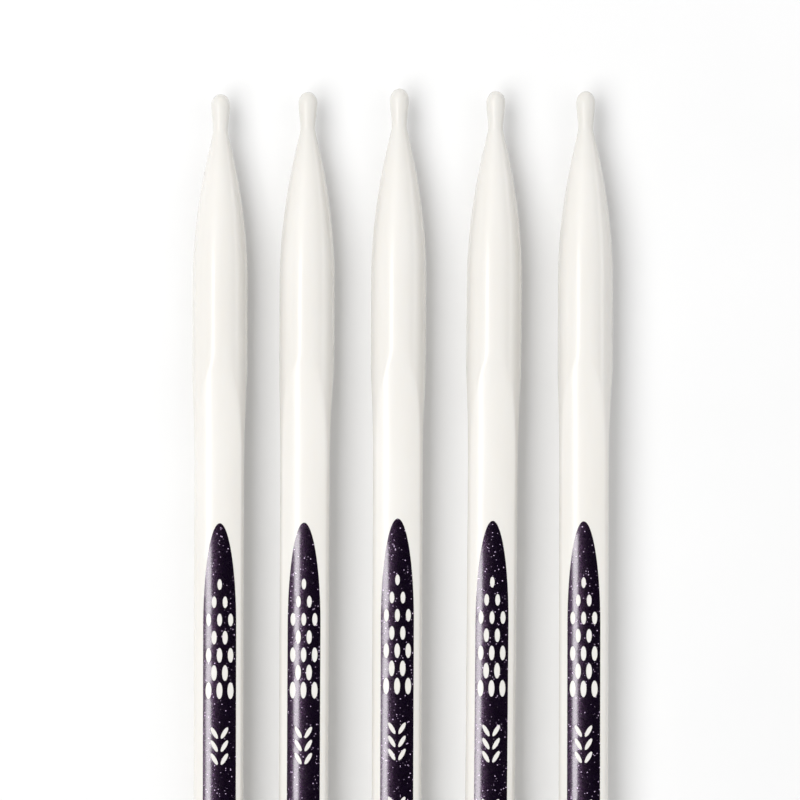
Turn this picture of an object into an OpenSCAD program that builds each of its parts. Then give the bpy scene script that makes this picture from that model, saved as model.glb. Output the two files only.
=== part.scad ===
// A set of five double pointed knitting needles, lying side by side.
//
// Frame: +Z up, the needles lie along Y on the plane z = 0, and the row runs
// along X from needle 1 to needle 5. The origin is the centre of the row's
// footprint. Millimetres.
//
// Every needle is one polymer moulding with the same two ends. From the end
// inwards: a drop-shaped bulb, a slim neck, a long ogive taper, a short round
// stretch of the full needle diameter, and then a grip with three softly
// convex facets that run out in arches on the round stretch. A thin film of
// ink lies on the facet that faces up, with bare ovals and stitch marks in it.

/* [Needle] */
// Needle size: diameter of the round stretch that gauges the stitch
needle_d = 8; // [6:0.5:10]
// Whole length of one needle, end to end
needle_l = 200; // [180:5:240]
// Diameter of the drop-shaped bulb at each end
bulb_d = 2.74; // [2.2:0.02:3.2]
// Diameter of the neck behind the bulb
neck_d = 2.16; // [1.7:0.02:2.2]
// Distance from the end to where the taper reaches the full diameter
taper_l = 27.4; // [22:0.2:34]
// Length of the round stretch between the taper and the facets
round_l = 11.3; // [8:0.1:16]

/* [Grip facets] */
// Radius of the convex curve across each facet
facet_r = 7; // [6:0.25:10]
// Half angle of the round corner left between two facets, in degrees
corner_a = 6.4; // [4:0.2:9]
// How far those corners are eased below the full diameter, on the radius
corner_drop = 0.04; // [0.02:0.01:0.08]
// Length over which each facet runs out towards the round stretch
runout_l = 17.3; // [10:0.1:20]

/* [Print] */
// Thickness of the ink film
film_t = 0.06; // [0.04:0.01:0.12]
// Width of the printed panel
panel_w = 4.76; // [3.6:0.02:5]
// Length of the printed panel, end to end
panel_l = 74.8; // [66:0.2:80]
// Length of the narrowing part at each end of the panel
point_l = 15; // [8:0.5:18]
// Rows of bare ovals at each end of the panel
oval_rows = 7; // [3:1:7]
// Distance from one row of ovals to the next
oval_pitch = 2.57; // [2.5:0.01:2.8]
// Distance between ovals side by side
oval_step = 1.59; // [1.3:0.01:1.65]

/* [Row] */
// Distance between neighbouring needles when they lie in a perfect row
row_pitch = 13.3; // [11.5:0.1:18]
// How far the loose needles stray from a perfect row, 0 for not at all
stray = 1; // [0:0.1:1]

/* [Hidden] */
$fn = 96;

needle_r = needle_d / 2;
half_l = needle_l / 2;
bulb_r = bulb_d / 2;
neck_r = neck_d / 2;

// How each loose needle lies, from needle 1 to needle 5: sideways off its
// place, lengthwise off its place, turned about the vertical, rolled about its
// own axis (degrees), and the ink's sideways and lengthwise offset on its facet
lie_x = [0.39, -0.42, -0.34, -0.03, 0.38];
lie_y = [-0.40, -0.08, 0.40, 0.04, 0.01];
lie_turn = [-0.14, -0.27, -0.23, -0.48, -0.12];
lie_roll = [-1.5, -6.5, -0.5, -0.5, -7];
ink_x = [0.18, 0.13, 0.03, 0.06, 0.15];
ink_y = [0.18, -0.06, 0.06, 0.09, 0.04];

function axis_x(i) = (i - 2) * row_pitch + stray * lie_x[i];
function axis_y(i) = stray * lie_y[i];
function turn(i) = stray * lie_turn[i];
function roll(i) = stray * lie_roll[i];

// The row's footprint, so that its centre can be put at the origin: the full
// diameter reaches this far along the axis
reach = half_l - taper_l;
function right_of(i) = axis_x(i) + reach * abs(sin(turn(i))) + needle_r * cos(turn(i));
function left_of(i) = axis_x(i) - reach * abs(sin(turn(i))) - needle_r * cos(turn(i));
function end_of(i) = (half_l - bulb_r) * cos(turn(i)) + bulb_r;
row_mid_x = (max([for (i = [0:4]) right_of(i)]) + min([for (i = [0:4]) left_of(i)])) / 2;
row_mid_y = (max([for (i = [0:4]) axis_y(i) + end_of(i)])
           + min([for (i = [0:4]) axis_y(i) - end_of(i)])) / 2;

// Radius of the needle at a distance s from its end
bulb_s = 1.65;       // where the bulb is widest
neck_s = 5.5;        // where the neck is slimmest
neck_soft = 0.35;    // how softly the taper leaves the neck
function ramp(s) = pow(s - neck_s, 2) / (s - neck_s + neck_soft);
function taper(s) = 1 - pow(1 - min(1, ramp(s) / ramp(taper_l)), 1.9);
function radius_at(s) =
    s <= bulb_s ? bulb_r * sqrt(max(0, 1 - pow(1 - s / bulb_s, 2)))
    : s <= neck_s ? neck_r + (bulb_r - neck_r) * (1 + cos(180 * (s - bulb_s) / (neck_s - bulb_s))) / 2
    : s < taper_l ? neck_r + (needle_r - neck_r) * taper(s)
    : needle_r;

// Stations along one end, closer together where the outline bends more
bulb_n = 9;
slope_n = 8;
taper_n = 26;
stations = concat(
    [for (k = [1:bulb_n]) bulb_s * (1 - cos(90 * k / bulb_n))],
    [for (k = [1:slope_n]) bulb_s + (neck_s - bulb_s) * k / slope_n],
    [for (k = [1:taper_n]) neck_s + (taper_l - neck_s) * pow(k / taper_n, 1.15)]);
last = len(stations) - 1;

// Facets. The corner between two facets lies just under the full diameter, and
// the facet's edge is at this angle from the middle of the facet
edge_a = 60 - corner_a;
corner_r = needle_r - corner_drop;
facet_half = corner_r * sin(edge_a);
facet_drop = corner_r * cos(edge_a);
// Distance from the needle's axis to the centre of the facet's curve
facet_c = sqrt(pow(facet_r, 2) - pow(facet_half, 2)) - facet_drop;
// Radius of that curve where it only just touches the full diameter
touch_r = needle_r + facet_c;
arch_y = half_l - taper_l - round_l;    // where the facet's arch begins
flat_y = arch_y - runout_l;             // where the facet has its full width
runout_n = 14;
// The facet's curve opens out beyond the touching radius, clear of the needle
clear_n = 3;
function runout_r(y) = facet_r + (touch_r - facet_r) * pow((y - flat_y) / runout_l, 2.7);
// Stations on the run-out, none of them just where the curve touches
facet_pts = [for (k = [0:runout_n + clear_n])
    let (y = flat_y + runout_l * k / (runout_n + 0.5)) [runout_r(y), y]];
big_r = needle_r + facet_c + 2.5;
// The full diameter ends just short of the arches, and eases down to the
// corners over a long shallow cone
gauge_y = arch_y + 0.8;
eased_y = flat_y - 3;

module ring_profile(pts) {
    rotate_extrude(angle = 360) polygon(pts);
}

// The whole needle as a body of revolution along Z
module turned() {
    ring_profile(concat(
        [[0, -half_l]],
        [for (k = [0:last]) [radius_at(stations[k]), -half_l + stations[k]]],
        [[needle_r, -gauge_y], [corner_r, -eased_y],
         [corner_r, eased_y], [needle_r, gauge_y]],
        [for (k = [0:last]) [radius_at(stations[last - k]), half_l - stations[last - k]]],
        [[0, half_l]]));
}

// The body whose surface is one facet and its two run-outs
module facet_body(a) {
    m = len(facet_pts) - 1;
    rotate([0, 0, a]) translate([0, -facet_c, 0])
        ring_profile(concat(
            [[0, -half_l - 1], [big_r, -half_l - 1], [big_r, -facet_pts[m][1]]],
            [for (k = [0:m]) [facet_pts[m - k][0], -facet_pts[m - k][1]]],
            facet_pts,
            [[big_r, facet_pts[m][1]], [big_r, half_l + 1], [0, half_l + 1]]));
}

// One needle, its axis along Y through the origin and a facet facing +Z
module shaft() {
    rotate([90, 0, 0])
        intersection() {
            turned();
            facet_body(0);
            facet_body(120);
            facet_body(240);
        }
}

// Half width of the printed panel at a distance d from its end: half an ellipse
function panel_half(d) = panel_w / 2 * sqrt(1 - pow(1 - d / point_l, 2));
point_n = 14;
function point_d(k) = point_l * (1 - cos(90 * k / point_n));
function panel_side(s) = [for (k = [1:point_n])
    [s * panel_half(point_d(k)), panel_l / 2 - point_d(k)]];
function flip(pts) = [for (p = pts) [-p[0], -p[1]]];

module panel_outline() {
    right = concat([[0, panel_l / 2]], panel_side(1));
    left = [for (k = [0:point_n - 1]) panel_side(-1)[point_n - 1 - k]];
    polygon(concat(right, flip(concat(left, [[0, panel_l / 2]])),
                   flip(panel_side(1)), left));
}

// An upright oval of width w and length l, as a fine polygon
oval_n = 20;
module oval(w, l) {
    polygon([for (k = [0:oval_n - 1])
        [w / 2 * cos(360 * k / oval_n), l / 2 * sin(360 * k / oval_n)]]);
}

// One end's bare ovals: rows of 1, 2 and 3 that grow towards the middle
first_row = panel_l / 2 - 8.9;
function in_row(k) = k == 0 ? 1 : k % 2 == 1 ? 2 : 3;
module ovals() {
    for (k = [0:oval_rows - 1], j = [0:in_row(k) - 1])
        translate([(j - (in_row(k) - 1) / 2) * oval_step, first_row - k * oval_pitch])
            oval(0.67 + 0.21 * k / 6, 1.57 + 0.85 * k / 6);
}

// A knitted stitch: two slanted leaves in a V
stitch_h = 1.9;
module stitch() {
    for (s = [-1, 1])
        translate([s * 0.74, 0]) rotate(-s * 30) oval(0.62, 1.9);
}

// The ink film of one needle, on the facet that faces +Z
module film(dx, dy) {
    intersection() {
        translate([0, 0, -facet_c]) rotate([90, 0, 0])
            difference() {
                cylinder(r = facet_r + film_t, h = panel_l + 2, center = true);
                cylinder(r = facet_r, h = panel_l + 4, center = true);
            }
        translate([dx, dy, 0]) linear_extrude(height = needle_d)
            difference() {
                panel_outline();
                ovals();
                mirror([0, 1]) ovals();
                for (k = [0:2]) translate([0, 3.15 + k * stitch_h]) stitch();
                for (k = [0:1]) translate([0, -3.8 - k * stitch_h]) stitch();
            }
    }
}

// Puts a needle where it lies in the row, its round stretches on z = 0
module lay(i) {
    translate([axis_x(i) - row_mid_x, axis_y(i) - row_mid_y, needle_r])
        rotate([0, 0, turn(i)]) rotate([0, roll(i), 0]) children();
}

ivory = [0.94, 0.92, 0.88];
aubergine = [0.13, 0.08, 0.17];

module needle_1_shaft() { color(ivory) lay(0) shaft(); }
module needle_1_print() { color(aubergine) lay(0) film(stray * ink_x[0], stray * ink_y[0]); }
module needle_2_shaft() { color(ivory) lay(1) shaft(); }
module needle_2_print() { color(aubergine) lay(1) film(stray * ink_x[1], stray * ink_y[1]); }
module needle_3_shaft() { color(ivory) lay(2) shaft(); }
module needle_3_print() { color(aubergine) lay(2) film(stray * ink_x[2], stray * ink_y[2]); }
module needle_4_shaft() { color(ivory) lay(3) shaft(); }
module needle_4_print() { color(aubergine) lay(3) film(stray * ink_x[3], stray * ink_y[3]); }
module needle_5_shaft() { color(ivory) lay(4) shaft(); }
module needle_5_print() { color(aubergine) lay(4) film(stray * ink_x[4], stray * ink_y[4]); }

needle_1_shaft();
needle_1_print();
needle_2_shaft();
needle_2_print();
needle_3_shaft();
needle_3_print();
needle_4_shaft();
needle_4_print();
needle_5_shaft();
needle_5_print();
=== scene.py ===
import math

import bpy
import numpy as np
from mathutils import Matrix, Vector
from mathutils.geometry import delaunay_2d_cdt


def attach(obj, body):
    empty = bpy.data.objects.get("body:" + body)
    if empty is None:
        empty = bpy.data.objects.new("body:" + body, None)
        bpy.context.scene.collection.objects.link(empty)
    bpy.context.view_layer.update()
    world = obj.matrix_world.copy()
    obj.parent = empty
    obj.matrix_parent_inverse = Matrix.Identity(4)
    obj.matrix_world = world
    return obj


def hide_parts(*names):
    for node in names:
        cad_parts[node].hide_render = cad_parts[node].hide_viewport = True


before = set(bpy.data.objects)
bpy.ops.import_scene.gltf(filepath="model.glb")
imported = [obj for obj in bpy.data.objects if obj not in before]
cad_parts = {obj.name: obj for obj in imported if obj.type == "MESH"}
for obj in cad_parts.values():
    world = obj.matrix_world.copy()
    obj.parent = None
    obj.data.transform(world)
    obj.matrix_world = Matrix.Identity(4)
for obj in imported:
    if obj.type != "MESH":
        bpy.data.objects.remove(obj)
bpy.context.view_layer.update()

MM = 0.001

# ---------------------------------------------------------------- the needle's shape, in millimetres
NEEDLE_R, HALF_L = 4.0, 100.0
BULB_R, NECK_R = 1.37, 1.08
BULB_S, NECK_S, NECK_SOFT = 1.65, 5.5, 0.35
TAPER_L, ROUND_L, RUNOUT_L = 27.4, 11.3, 17.3
FACET_R, CORNER_A, CORNER_DROP = 7.0, 6.4, 0.04
CORNER_R = NEEDLE_R - CORNER_DROP
EDGE_A = math.radians(60 - CORNER_A)
FACET_C = math.sqrt(FACET_R**2 - (CORNER_R * math.sin(EDGE_A)) ** 2) - CORNER_R * math.cos(EDGE_A)
TOUCH_R = NEEDLE_R + FACET_C
ARCH_Y = HALF_L - TAPER_L - ROUND_L
FLAT_Y = ARCH_Y - RUNOUT_L
GAUGE_Y, EASED_Y = ARCH_Y + 0.8, FLAT_Y - 3
SOFT_EDGE = 0.10      # how far a moulded edge is eased, in radial millimetres

# The print
PANEL_W, PANEL_L, POINT_L = 4.76, 74.8, 15.0
OVAL_ROWS, OVAL_PITCH, OVAL_STEP = 7, 2.57, 1.59
FIRST_ROW = PANEL_L / 2 - 8.9
STITCH_H = 1.9
FILM_T = 0.035        # ink stands this far proud of the facet

# How each loose needle lies: x, y (before centring), turn and roll in degrees, the ink's offset across and along
PITCH = 13.3
LIE_X = [0.39, -0.42, -0.34, -0.03, 0.38]
LIE_Y = [-0.40, -0.08, 0.40, 0.04, 0.01]
TURN = [-0.14, -0.27, -0.23, -0.48, -0.12]
ROLL = [-1.5, -6.5, -0.5, -0.5, -7.0]
INK_X = [0.18, 0.13, 0.03, 0.06, 0.15]
INK_Y = [0.18, -0.06, 0.06, 0.09, 0.04]


def layout():
    """Where each needle's axis lies, centred as the CAD row is."""
    reach = HALF_L - TAPER_L
    xs = [(i - 2) * PITCH + LIE_X[i] for i in range(5)]
    s = [abs(math.sin(math.radians(t))) for t in TURN]
    c = [math.cos(math.radians(t)) for t in TURN]
    right = max(xs[i] + reach * s[i] + NEEDLE_R * c[i] for i in range(5))
    left = min(xs[i] - reach * s[i] - NEEDLE_R * c[i] for i in range(5))
    ends = [(HALF_L - BULB_R) * c[i] + BULB_R for i in range(5)]
    top = max(LIE_Y[i] + ends[i] for i in range(5))
    bottom = min(LIE_Y[i] - ends[i] for i in range(5))
    return [(x - (right + left) / 2, LIE_Y[i] - (top + bottom) / 2) for i, x in enumerate(xs)]


PLACES = layout()


def place(i):
    """From a needle's own millimetres (axis along Y, printed facet up) to the row frame's metres."""
    x, y = PLACES[i]
    return (
        Matrix.Diagonal((MM, MM, MM, 1))
        @ Matrix.Translation((x, y, NEEDLE_R))
        @ Matrix.Rotation(math.radians(TURN[i]), 4, "Z")
        @ Matrix.Rotation(math.radians(ROLL[i]), 4, "Y")
    )


def put(co, i):
    m = np.array(place(i))
    return co @ m[:3, :3].T + m[:3, 3]


def body_radius(s):
    """Radius of the turned form at a distance s from its end."""
    s = np.asarray(s, float)
    x = np.maximum(s - NECK_S, 0)
    ramp = x * x / (x + NECK_SOFT)
    xt = TAPER_L - NECK_S
    full = xt * xt / (xt + NECK_SOFT)
    taper = 1 - (1 - np.minimum(1, ramp / full)) ** 1.9
    r = NECK_R + (NEEDLE_R - NECK_R) * taper
    neck = NECK_R + (BULB_R - NECK_R) * (1 + np.cos(np.pi * (s - BULB_S) / (NECK_S - BULB_S))) / 2
    r = np.where(s <= NECK_S, neck, r)
    bulb = BULB_R * np.sqrt(np.maximum(0, 1 - (1 - s / BULB_S) ** 2))
    return np.where(s <= BULB_S, bulb, r)


def facet_radius(y):
    """Radius of the facet's curve at a station y along the needle; it opens out over the run-out."""
    t = np.clip((np.abs(y) - FLAT_Y) / RUNOUT_L, 0, 1.6)
    return FACET_R + (TOUCH_R - FACET_R) * t**2.7


def soft_min(a, b, k):
    h = np.maximum(k - np.abs(a - b), 0) / k
    return np.minimum(a, b) - h * h * k / 4


def section(y, angles):
    """The needle's radius in each direction at station y. Angle 0 is the printed facet's normal."""
    r = np.full(angles.shape, float(body_radius(HALF_L - abs(y))))
    if abs(y) > ARCH_Y + 1.2:
        return r
    # the corners are eased a little below the full diameter, over a long shallow cone
    r -= CORNER_DROP * min(1, max(0, (GAUGE_Y - abs(y)) / (GAUGE_Y - EASED_Y)))
    rf = float(facet_radius(y))
    for n in range(3):
        d = (angles - n * 2 * np.pi / 3 + np.pi) % (2 * np.pi) - np.pi
        inside = rf**2 - (FACET_C * np.sin(d)) ** 2
        f = np.where(np.abs(d) < 1.45, -FACET_C * np.cos(d) + np.sqrt(np.maximum(inside, 0)), 99.0)
        r = soft_min(r, f, SOFT_EDGE)
    return r


def stations():
    """Rings along half a needle, from the middle to the end: dense where the form turns."""
    ys = list(np.linspace(0, FLAT_Y, 15))
    ys += list(np.linspace(FLAT_Y, ARCH_Y + 1.2, 72)[1:])
    ys += list(np.linspace(ARCH_Y + 1.2, HALF_L - TAPER_L, 10)[1:])
    s = NECK_S + (TAPER_L - NECK_S) * np.linspace(1, 0, 56) ** 1.3
    ys += list(HALF_L - s[1:])
    ys += list(HALF_L - np.linspace(NECK_S, BULB_S, 20)[1:])
    ys += list(HALF_L - BULB_S * (1 - np.sin(np.linspace(0, np.pi / 2, 18)[1:-1])))
    return np.array(ys)


AROUND = 240


def shaft_mesh(name, i):
    half = stations()
    ys = np.concatenate([-half[::-1], half[1:]])
    ang = np.linspace(0, 2 * np.pi, AROUND, endpoint=False)
    rings = []
    for y in ys:
        r = section(y, ang)
        rings.append(np.stack([r * np.sin(ang), np.full_like(ang, y), r * np.cos(ang)], 1))
    co = np.concatenate(rings + [[[0, -HALF_L, 0]], [[0, HALF_L, 0]]])
    n, m = AROUND, len(ys)
    a = np.arange(n)
    b = (a + 1) % n
    faces = []
    for k in range(m - 1):
        lo, hi = k * n, (k + 1) * n
        faces += np.stack([lo + a, lo + b, hi + b, hi + a], 1).tolist()
    first, end = m * n, m * n + 1
    faces += np.stack([np.full(n, first), b, a], 1).tolist()
    top = (m - 1) * n
    faces += np.stack([np.full(n, end), top + a, top + b], 1).tolist()
    mesh = bpy.data.meshes.new(name)
    mesh.from_pydata(put(co, i).tolist(), [], faces)
    mesh.update()
    mesh.polygons.foreach_set("use_smooth", [True] * len(mesh.polygons))
    return mesh


# ---------------------------------------------------------------- the ink film
def oval(cx, cy, w, l, turn=0.0, n=40):
    t = np.linspace(0, 2 * np.pi, n, endpoint=False)
    x, y = w / 2 * np.cos(t), l / 2 * np.sin(t)
    c, s = math.cos(math.radians(turn)), math.sin(math.radians(turn))
    return np.stack([cx + c * x - s * y, cy + s * x + c * y], 1)


def film_outline(n=36, side=0.55):
    d = POINT_L * (1 - np.cos(np.linspace(0, np.pi / 2, n)))
    hw = PANEL_W / 2 * np.sqrt(np.maximum(0, 1 - (1 - d / POINT_L) ** 2))
    y = PANEL_L / 2 - d
    straight = np.arange(y[-1] - side, 0, -side)
    hw = np.concatenate([hw, np.full(len(straight), PANEL_W / 2)])
    y = np.concatenate([y, straight])
    right_top = np.stack([hw, y], 1)                       # tip, down the right side
    right_low = np.stack([hw, -y], 1)[::-1]
    left_low = np.stack([-hw, -y], 1)[1:]
    left_top = np.stack([-hw, y], 1)[::-1][:-1]
    return np.concatenate([right_top, right_low, left_low, left_top])


def film_holes():
    holes = []
    for k in range(OVAL_ROWS):
        n = 1 if k == 0 else 2 + (k + 1) % 2
        for j in range(n):
            x = (j - (n - 1) / 2) * OVAL_STEP
            y = FIRST_ROW - k * OVAL_PITCH
            w, l = 0.67 + 0.21 * k / 6, 1.57 + 0.85 * k / 6
            holes += [oval(x, y, w, l), oval(x, -y, w, l)]
    for cy in [3.15 + k * STITCH_H for k in range(3)] + [-3.8 - k * STITCH_H for k in range(2)]:
        for s in (-1, 1):
            holes.append(oval(s * 0.74, cy, 0.62, 1.9, -s * 30))
    return holes


def inside(poly, pts):
    """Which points lie inside a closed polygon."""
    x, y = pts[:, 0], pts[:, 1]
    out = np.zeros(len(pts), bool)
    px, py = poly[:, 0], poly[:, 1]
    qx, qy = np.roll(px, -1), np.roll(py, -1)
    for ax, ay, bx, by in zip(px, py, qx, qy):
        cross = (ay > y) != (by > y)
        if ay != by:
            out ^= cross & (x < (bx - ax) * (y - ay) / (by - ay) + ax)
    return out


def film_plan():
    """The film's flat triangulation, with its holes: points, triangles and boundary loops."""
    outline = film_outline()
    loops = [outline] + film_holes()
    pts, edges, k = [], [], 0
    for lp in loops:
        pts += lp.tolist()
        edges += [(k + a, k + (a + 1) % len(lp)) for a in range(len(lp))]
        k += len(lp)
    # a loose grid of points keeps the triangles even, so the film bends with the facet
    step = 0.4
    gx, gy = np.meshgrid(np.arange(-PANEL_W / 2, PANEL_W / 2 + step, step), np.arange(-PANEL_L / 2, PANEL_L / 2, step))
    gx = gx + (np.arange(gx.shape[0]) % 2)[:, None] * step / 2
    grid = np.stack([gx.ravel(), gy.ravel()], 1)
    keep = inside(outline, grid)
    for lp in loops[1:]:
        keep &= ~inside(lp, grid)
    grid = grid[keep]
    border = np.concatenate(loops)
    near = np.array([np.min(np.hypot(*(border - g).T)) for g in grid])
    grid = grid[near > 0.16]
    pts += grid.tolist()
    verts, _, tris, _, _, _ = delaunay_2d_cdt([Vector(p) for p in pts], edges, [], 0, 1e-6)
    verts = np.array([tuple(v) for v in verts])
    tris = np.array([t for t in tris if len(t) == 3])
    mid = verts[tris].mean(1)
    keep = inside(outline, mid)
    for lp in loops[1:]:
        keep &= ~inside(lp, mid)
    tris = tris[keep]
    a, b, c = (verts[tris[:, j]] for j in range(3))
    area = (b[:, 0] - a[:, 0]) * (c[:, 1] - a[:, 1]) - (b[:, 1] - a[:, 1]) * (c[:, 0] - a[:, 0])
    tris[area < 0] = tris[area < 0][:, ::-1]
    return verts, tris


PLAN = film_plan()


def film_mesh(name, i):
    """The film as a thin closed solid that follows the facet."""
    flat, tris = PLAN
    used = np.unique(tris)
    index = np.full(len(flat), -1)
    index[used] = np.arange(len(used))
    flat, tris = flat[used], index[tris]
    x, y = flat[:, 0] + INK_X[i], flat[:, 1] + INK_Y[i]

    def lay(r):
        return np.stack([x * r / FACET_R, y, np.sqrt(r**2 - (x * r / FACET_R) ** 2) - FACET_C], 1)

    top, low = lay(FACET_R + FILM_T), lay(FACET_R - 0.004)
    n = len(flat)
    directed = {}
    for t in tris.tolist():
        for a, b in ((t[0], t[1]), (t[1], t[2]), (t[2], t[0])):
            directed[(a, b)] = True
    rim = [(a, b) for (a, b) in directed if (b, a) not in directed]
    faces = tris.tolist() + (tris[:, ::-1] + n).tolist() + [[b, a, a + n, b + n] for a, b in rim]
    mesh = bpy.data.meshes.new(name)
    mesh.from_pydata(put(np.concatenate([top, low]), i).tolist(), [], faces)
    mesh.update()
    smooth = [True] * (2 * len(tris)) + [False] * len(rim)
    mesh.polygons.foreach_set("use_smooth", smooth)
    edge_sharp = {tuple(sorted(e)) for e in rim} | {(min(a, b) + n, max(a, b) + n) for a, b in rim}
    sharp = [tuple(sorted(e.vertices)) in edge_sharp for e in mesh.edges]
    mesh.attributes.new("sharp_edge", "BOOLEAN", "EDGE").data.foreach_set("value", sharp)
    return mesh


# ---------------------------------------------------------------- materials
def new_material(name):
    m = bpy.data.materials.new(name)
    m.use_nodes = True
    t = m.node_tree
    t.nodes.clear()
    out = t.nodes.new("ShaderNodeOutputMaterial")
    bsdf = t.nodes.new("ShaderNodeBsdfPrincipled")
    t.links.new(bsdf.outputs[0], out.inputs["Surface"])
    return m, t, bsdf


def node(t, kind, **values):
    n = t.nodes.new(kind)
    for key, v in values.items():
        if key in n.inputs:
            n.inputs[key].default_value = v
        else:
            setattr(n, key, v)
    return n


def ramp(t, stops, interpolation="LINEAR"):
    n = t.nodes.new("ShaderNodeValToRGB")
    n.color_ramp.interpolation = interpolation
    e = n.color_ramp.elements
    while len(e) < len(stops):
        e.new(0.5)
    for k, (pos, col) in enumerate(stops):
        e[k].position = pos
        e[k].color = col if len(col) == 4 else (*col, 1)
    return n


def polymer():
    """Glossy ivory polymer: faint cloudy tone, a few cast-in specks, painted shade towards the tips, and a skin that
    isn't quite even.
    """
    m, t, b = new_material("ivory_polymer")
    L = t.links.new
    co = node(t, "ShaderNodeTexCoord")
    # tone drifts slowly along the moulding
    stretch = node(t, "ShaderNodeMapping")
    stretch.inputs["Scale"].default_value = (1.0, 0.22, 1.0)
    L(co.outputs["Object"], stretch.inputs["Vector"])
    cloud = node(t, "ShaderNodeTexNoise", Scale=170.0, Detail=4.0, Roughness=0.55)
    L(stretch.outputs[0], cloud.inputs["Vector"])
    tone = ramp(t, [(0.30, (0.768, 0.745, 0.703)), (0.70, (0.798, 0.780, 0.745))])
    L(cloud.outputs["Fac"], tone.inputs["Fac"])
    # sparse dark specks cast into the resin
    cells = node(t, "ShaderNodeTexVoronoi", Scale=520.0)
    L(co.outputs["Object"], cells.inputs["Vector"])
    rare = node(t, "ShaderNodeMath", operation="GREATER_THAN")
    rare.inputs[1].default_value = 0.985
    pick = node(t, "ShaderNodeSeparateColor")
    L(cells.outputs["Color"], pick.inputs[0])
    L(pick.outputs[0], rare.inputs[0])
    close = node(t, "ShaderNodeMath", operation="LESS_THAN")
    close.inputs[1].default_value = 0.045
    L(cells.outputs["Distance"], close.inputs[0])
    speck = node(t, "ShaderNodeMath", operation="MULTIPLY")
    L(rare.outputs[0], speck.inputs[0])
    L(close.outputs[0], speck.inputs[1])
    mix = node(t, "ShaderNodeMix", data_type="RGBA")
    mix.inputs[7].default_value = (0.42, 0.38, 0.32, 1)
    L(speck.outputs[0], mix.inputs[0])
    L(tone.outputs[0], mix.inputs[6])
    # painted shade: the base colour is greyed a little towards the bulbs and necks, so the thin tips look dimmer than
    # the lamps alone make them
    parts = node(t, "ShaderNodeSeparateXYZ")
    L(co.outputs["Object"], parts.inputs[0])
    far = node(t, "ShaderNodeMath", operation="ABSOLUTE")
    L(parts.outputs[1], far.inputs[0])
    thin = node(t, "ShaderNodeMapRange")
    thin.inputs["From Min"].default_value = 0.0880
    thin.inputs["From Max"].default_value = 0.0955
    L(far.outputs[0], thin.inputs["Value"])
    # painted shade colour, multiplied over the tone at the tips
    painted_tip_shade = node(t, "ShaderNodeMix", data_type="RGBA", blend_type="MULTIPLY")
    painted_tip_shade.inputs[7].default_value = (0.945, 0.948, 0.945, 1)
    L(thin.outputs[0], painted_tip_shade.inputs[0])
    L(mix.outputs[2], painted_tip_shade.inputs[6])
    L(painted_tip_shade.outputs[2], b.inputs["Base Color"])
    # the skin: polish varies a little, with handling scuffs far finer than a millimetre
    skin = node(t, "ShaderNodeTexNoise", Scale=900.0, Detail=3.0, Roughness=0.6)
    L(co.outputs["Object"], skin.inputs["Vector"])
    rough = node(t, "ShaderNodeMapRange")
    rough.inputs["To Min"].default_value = 0.16
    rough.inputs["To Max"].default_value = 0.24
    L(skin.outputs["Fac"], rough.inputs["Value"])
    L(rough.outputs[0], b.inputs["Roughness"])
    flow = node(t, "ShaderNodeMapping")
    flow.inputs["Scale"].default_value = (1.0, 0.12, 1.0)
    L(co.outputs["Object"], flow.inputs["Vector"])
    orange = node(t, "ShaderNodeTexNoise", Scale=1300.0, Detail=2.0, Roughness=0.5)
    L(flow.outputs[0], orange.inputs["Vector"])
    bump = node(t, "ShaderNodeBump", Strength=0.06, Distance=0.00002)
    L(orange.outputs["Fac"], bump.inputs["Height"])
    L(bump.outputs[0], b.inputs["Normal"])
    b.inputs["IOR"].default_value = 1.50
    b.inputs["Subsurface Weight"].default_value = 0.10
    b.inputs["Subsurface Radius"].default_value = (1.0, 0.85, 0.65)
    b.inputs["Subsurface Scale"].default_value = 0.0007
    return m


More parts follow.
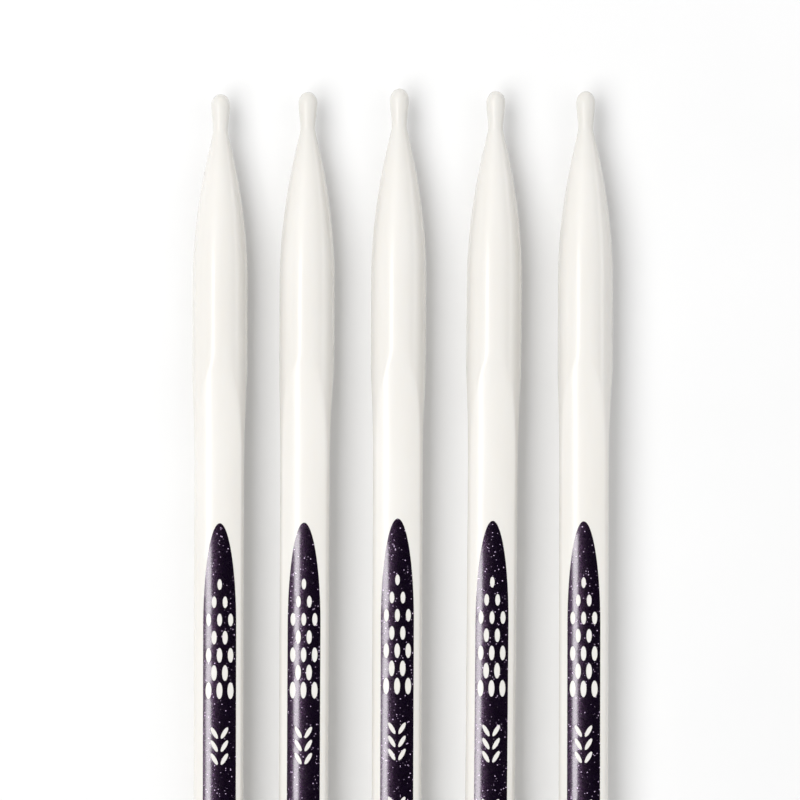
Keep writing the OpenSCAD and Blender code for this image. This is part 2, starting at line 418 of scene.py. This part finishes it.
def ink():
    """Aubergine ink: a dark ground with painted glints, packed purple flake that reflects strongly, and a clear skin.
    """
    m, t, b = new_material("aubergine_flake_ink")
    L = t.links.new
    co = node(t, "ShaderNodeTexCoord")
    # the ground, a little patchy over a millimetre or so
    patch = node(t, "ShaderNodeTexNoise", Scale=1400.0, Detail=3.0, Roughness=0.6)
    L(co.outputs["Object"], patch.inputs["Vector"])
    dark = ramp(t, [(0.32, (0.0010, 0.0001, 0.0034)), (0.70, (0.0030, 0.0006, 0.0084))])
    L(patch.outputs["Fac"], dark.inputs["Fac"])
    # painted glints: scattered bright spots in the base colour, each one cell of a fine cellular pattern, stand in for
    # flakes catching the light
    painted_glint_cells = node(t, "ShaderNodeTexVoronoi", Scale=5600.0)
    L(co.outputs["Object"], painted_glint_cells.inputs["Vector"])
    pick = node(t, "ShaderNodeSeparateColor")
    L(painted_glint_cells.outputs["Color"], pick.inputs[0])
    lift = node(t, "ShaderNodeMapRange")
    lift.inputs["From Min"].default_value = 0.955
    lift.inputs["From Max"].default_value = 0.985
    L(pick.outputs[0], lift.inputs["Value"])
    round_ = node(t, "ShaderNodeMapRange")
    round_.inputs["From Min"].default_value = 0.56
    round_.inputs["From Max"].default_value = 0.34
    L(painted_glint_cells.outputs["Distance"], round_.inputs["Value"])
    painted_glint = node(t, "ShaderNodeMath", operation="MULTIPLY")
    L(lift.outputs[0], painted_glint.inputs[0])
    L(round_.outputs[0], painted_glint.inputs[1])
    # painted glint colour, a pale lilac laid over the dark ground
    mix = node(t, "ShaderNodeMix", data_type="RGBA")
    mix.inputs[7].default_value = (0.86, 0.68, 0.96, 1)
    L(painted_glint.outputs[0], mix.inputs[0])
    L(dark.outputs[0], mix.inputs[6])
    L(mix.outputs[2], b.inputs["Base Color"])
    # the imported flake: every cell has its own small tilt and its own purple
    flakes = node(t, "ShaderNodeTexVoronoi", Scale=7600.0)
    L(co.outputs["Object"], flakes.inputs["Vector"])
    shade = node(t, "ShaderNodeSeparateColor")
    L(flakes.outputs["Color"], shade.inputs[0])
    sheen = ramp(t, [(0.0, (0.52, 0.18, 0.60)), (0.5, (0.90, 0.46, 0.98)), (1.0, (1.0, 0.72, 1.0))])
    L(shade.outputs[1], sheen.inputs["Fac"])
    L(sheen.outputs[0], b.inputs["Specular Tint"])
    half = node(t, "ShaderNodeVectorMath", operation="SUBTRACT")
    half.inputs[1].default_value = (0.5, 0.5, 0.5)
    L(flakes.outputs["Color"], half.inputs[0])
    tilt = node(t, "ShaderNodeVectorMath", operation="SCALE")
    tilt.inputs["Scale"].default_value = 0.13
    L(half.outputs[0], tilt.inputs[0])
    geo = node(t, "ShaderNodeNewGeometry")
    add = node(t, "ShaderNodeVectorMath", operation="ADD")
    L(geo.outputs["Normal"], add.inputs[0])
    L(tilt.outputs[0], add.inputs[1])
    unit = node(t, "ShaderNodeVectorMath", operation="NORMALIZE")
    L(add.outputs[0], unit.inputs[0])
    L(unit.outputs[0], b.inputs["Normal"])
    grain = node(t, "ShaderNodeMapRange")
    grain.inputs["To Min"].default_value = 0.28
    grain.inputs["To Max"].default_value = 0.36
    L(shade.outputs[2], grain.inputs["Value"])
    L(grain.outputs[0], b.inputs["Roughness"])
    b.inputs["IOR"].default_value = 1.9
    # the clear skin over the flake, very slightly uneven
    skin = node(t, "ShaderNodeTexNoise", Scale=2600.0, Detail=2.0, Roughness=0.5)
    L(co.outputs["Object"], skin.inputs["Vector"])
    ripple = node(t, "ShaderNodeBump", Strength=0.10, Distance=0.00002)
    L(skin.outputs["Fac"], ripple.inputs["Height"])
    L(ripple.outputs[0], b.inputs["Coat Normal"])
    b.inputs["Coat Weight"].default_value = 1.0
    b.inputs["Coat Roughness"].default_value = 0.15
    b.inputs["Coat IOR"].default_value = 2.15
    return m


POLYMER, INK = polymer(), ink()


def piece(mesh, body, node_name, material):
    mesh.materials.append(material)
    o = bpy.data.objects.new(mesh.name, mesh)
    bpy.context.scene.collection.objects.link(o)
    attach(o, body)
    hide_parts(node_name)
    return o


for i in range(5):
    n = f"needle_{i + 1}"
    piece(shaft_mesh(f"{n}_moulding", i), n, f"{n}_shaft", POLYMER)
    piece(film_mesh(f"{n}_ink", i), n, f"{n}_print", INK)

# ---------------------------------------------------------------- floor, light and camera
floor_mesh = bpy.data.meshes.new("floor")
F = 3.0
floor_mesh.from_pydata([(-F, -F, 0), (F, -F, 0), (F, F, 0), (-F, F, 0)], [], [(0, 1, 2, 3)])
floor = bpy.data.objects.new("floor", floor_mesh)
bpy.context.scene.collection.objects.link(floor)
fm, ft, fb = new_material("pale_floor")
paper = node(ft, "ShaderNodeTexNoise", Scale=300.0, Detail=3.0)
paper_tone = ramp(ft, [(0.3, (0.815, 0.815, 0.815)), (0.7, (0.825, 0.825, 0.825))])
ft.links.new(paper.outputs["Fac"], paper_tone.inputs["Fac"])
ft.links.new(paper_tone.outputs[0], fb.inputs["Base Color"])
fb.inputs["Roughness"].default_value = 0.9
fb.inputs["Specular IOR Level"].default_value = 0.0
floor_mesh.materials.append(fm)

scene = bpy.context.scene
world = bpy.data.worlds.new("studio")
scene.world = world
world.use_nodes = True
world.cycles.sampling_method = "NONE"
wt = world.node_tree
wt.nodes.clear()
wout = wt.nodes.new("ShaderNodeOutputWorld")
path = wt.nodes.new("ShaderNodeLightPath")
fill = wt.nodes.new("ShaderNodeBackground")
fill.inputs["Color"].default_value = (1, 1, 1, 1)
fill.inputs["Strength"].default_value = 0.42
dim = wt.nodes.new("ShaderNodeBackground")
dim.inputs["Color"].default_value = (1, 1, 1, 1)
dim.inputs["Strength"].default_value = 0.004
seen = wt.nodes.new("ShaderNodeBackground")
seen.inputs["Color"].default_value = (1, 1, 1, 1)
seen.inputs["Strength"].default_value = 1.0
mix1 = wt.nodes.new("ShaderNodeMixShader")
mix2 = wt.nodes.new("ShaderNodeMixShader")
wt.links.new(path.outputs["Is Glossy Ray"], mix1.inputs[0])
wt.links.new(fill.outputs[0], mix1.inputs[1])
wt.links.new(dim.outputs[0], mix1.inputs[2])
wt.links.new(path.outputs["Is Camera Ray"], mix2.inputs[0])
wt.links.new(mix1.outputs[0], mix2.inputs[1])
wt.links.new(seen.outputs[0], mix2.inputs[2])
wt.links.new(mix2.outputs[0], wout.inputs[0])


def area(name, lean, width, y_span, height, power, reflected=False, turn=0):
    """A softbox over the row: leaning left by lean degrees, width degrees wide, spanning y_span metres.

    Turn swings it round the row, in degrees seen from above."""
    a = math.radians(lean)
    reach = height / math.cos(a)
    d = bpy.data.lights.new(name, "AREA")
    d.shape = "RECTANGLE"
    d.size, d.size_y = 2 * reach * math.tan(math.radians(width / 2)), y_span[1] - y_span[0]
    d.energy = power
    o = bpy.data.objects.new(name, d)
    scene.collection.objects.link(o)
    middle = sum(y_span) / 2
    at = Vector((-height * math.tan(a), middle, height))
    z = (at - Vector((0, middle, 0.004))).normalized()
    y = Vector((0, 1, 0))
    x = y.cross(z).normalized()
    y = z.cross(x)
    swing = Matrix.Rotation(math.radians(turn), 4, "Z")
    o.matrix_world = swing @ Matrix.Translation(at) @ Matrix((x, y, z)).transposed().to_4x4()
    o.visible_glossy = reflected
    o.visible_diffuse = not reflected
    return o


# broad soft light shapes the needles and their shadows, and one strip light draws the highlight along them
area("key", 28, 38, (-0.60, 0.95), 0.90, 9.8)
area("rim", 10, 60, (0.15, 1.10), 0.90, 1.4)
area("side", -40, 44, (-0.60, 0.90), 0.90, 3.3)
area("strip", 29, 12, (-0.55, 0.215), 0.90, 2.3, reflected=True)
# low cards all round, seen only as soft reflections: they show the gloss from the sides and ends
area("left card", 75, 16, (-0.60, 0.60), 0.25, 0.5, reflected=True)
area("right card", -75, 16, (-0.60, 0.60), 0.25, 2.0, reflected=True)
area("far card", 62, 22, (-0.35, 0.35), 0.42, 0.6, reflected=True, turn=-90)
area("near card", 62, 22, (-0.35, 0.35), 0.42, 0.6, reflected=True, turn=90)

cam = bpy.data.cameras.new("camera")
camera = bpy.data.objects.new("camera", cam)
scene.collection.objects.link(camera)
D = 1.20
cam.sensor_width = 36.0
cam.lens = 36.0 * D / 0.11645
camera.location = (-0.00023, 0.05507, 0.004 + D)
camera.rotation_euler = (0, 0, 0)
cam.clip_end = 20
scene.camera = camera

# no stray bright dots from light bounced twice between the glossy needles
scene.cycles.caustics_reflective = False
scene.cycles.caustics_refractive = False
scene.cycles.sample_clamp_indirect = 2.0
scene.cycles.sample_clamp_direct = 4.0

scene.view_settings.view_transform = "Standard"
scene.view_settings.look = "None"
scene.view_settings.exposure = 0.0
scene.view_settings.gamma = 1.0
